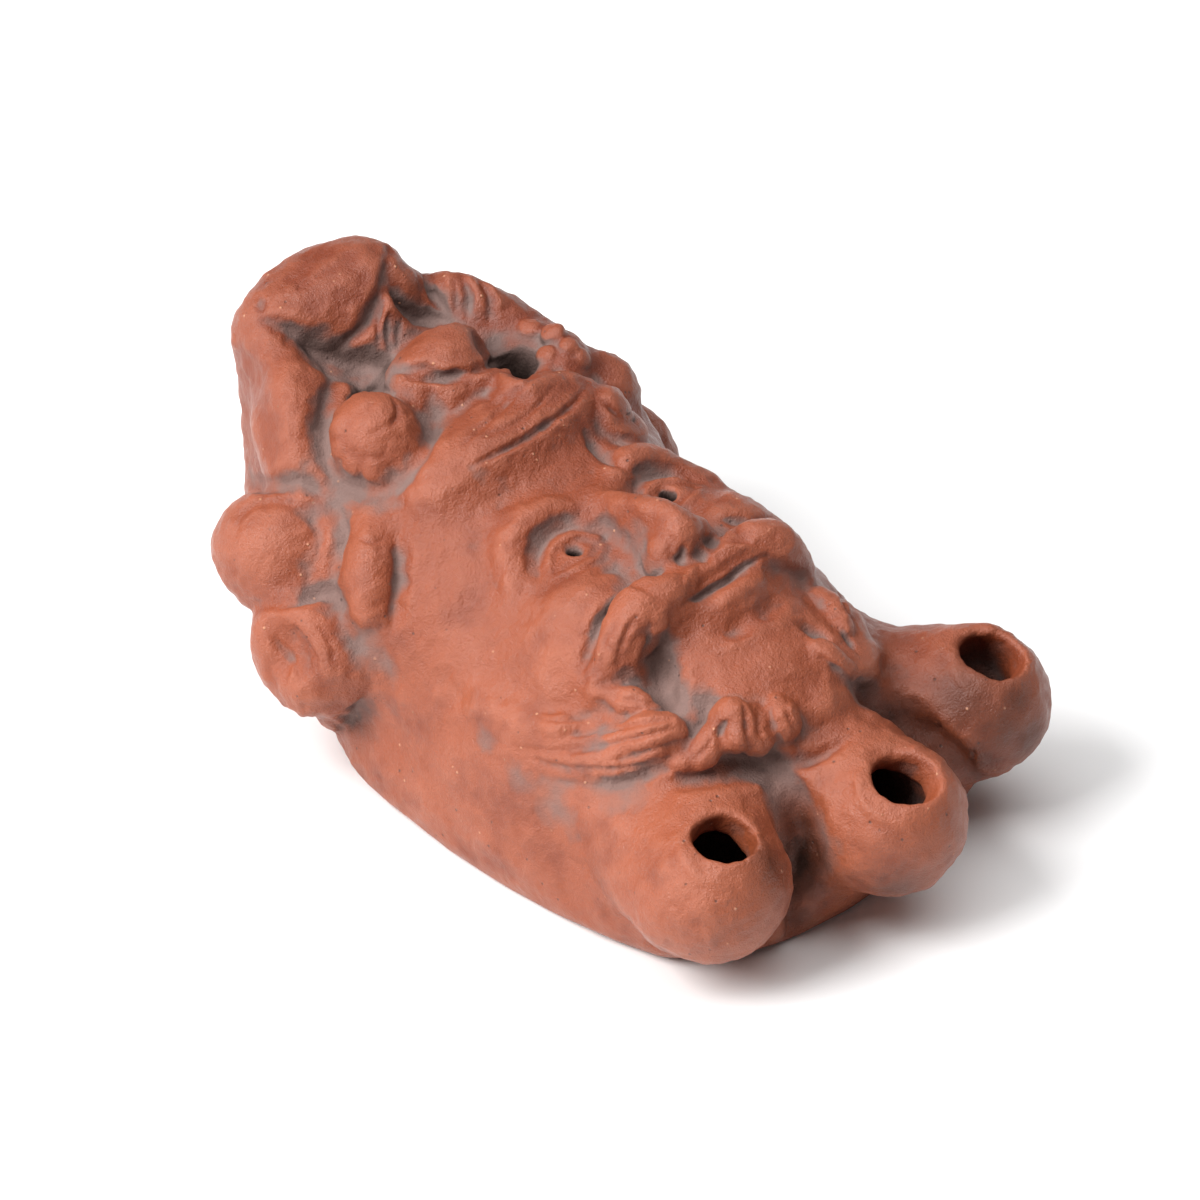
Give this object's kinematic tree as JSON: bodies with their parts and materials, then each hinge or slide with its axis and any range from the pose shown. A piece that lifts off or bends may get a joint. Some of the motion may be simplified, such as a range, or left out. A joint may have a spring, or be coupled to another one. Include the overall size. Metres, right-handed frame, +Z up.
{
  "type": "terracotta oil lamp",
  "caption": "Terracotta oil lamp shaped as a wreathed, bearded head lying on its back, hollow, with nozzles fanned out under the beard.",
  "frame": {"origin": "middle of the lamp's plan, on the table under its flat underside", "axes": "+Z up, out of the face; +Y from the nozzles to the crown; +X to the viewer's right when the face is upright"},
  "size_m": [0.0902, 0.152, 0.065],
  "materials": {
    "terracotta": "unglazed fired clay, matt with a low sheen on worn high spots"
  },
  "bodies": {
    "root": {"lamp": "terracotta"}
  },
  "joints": []
}
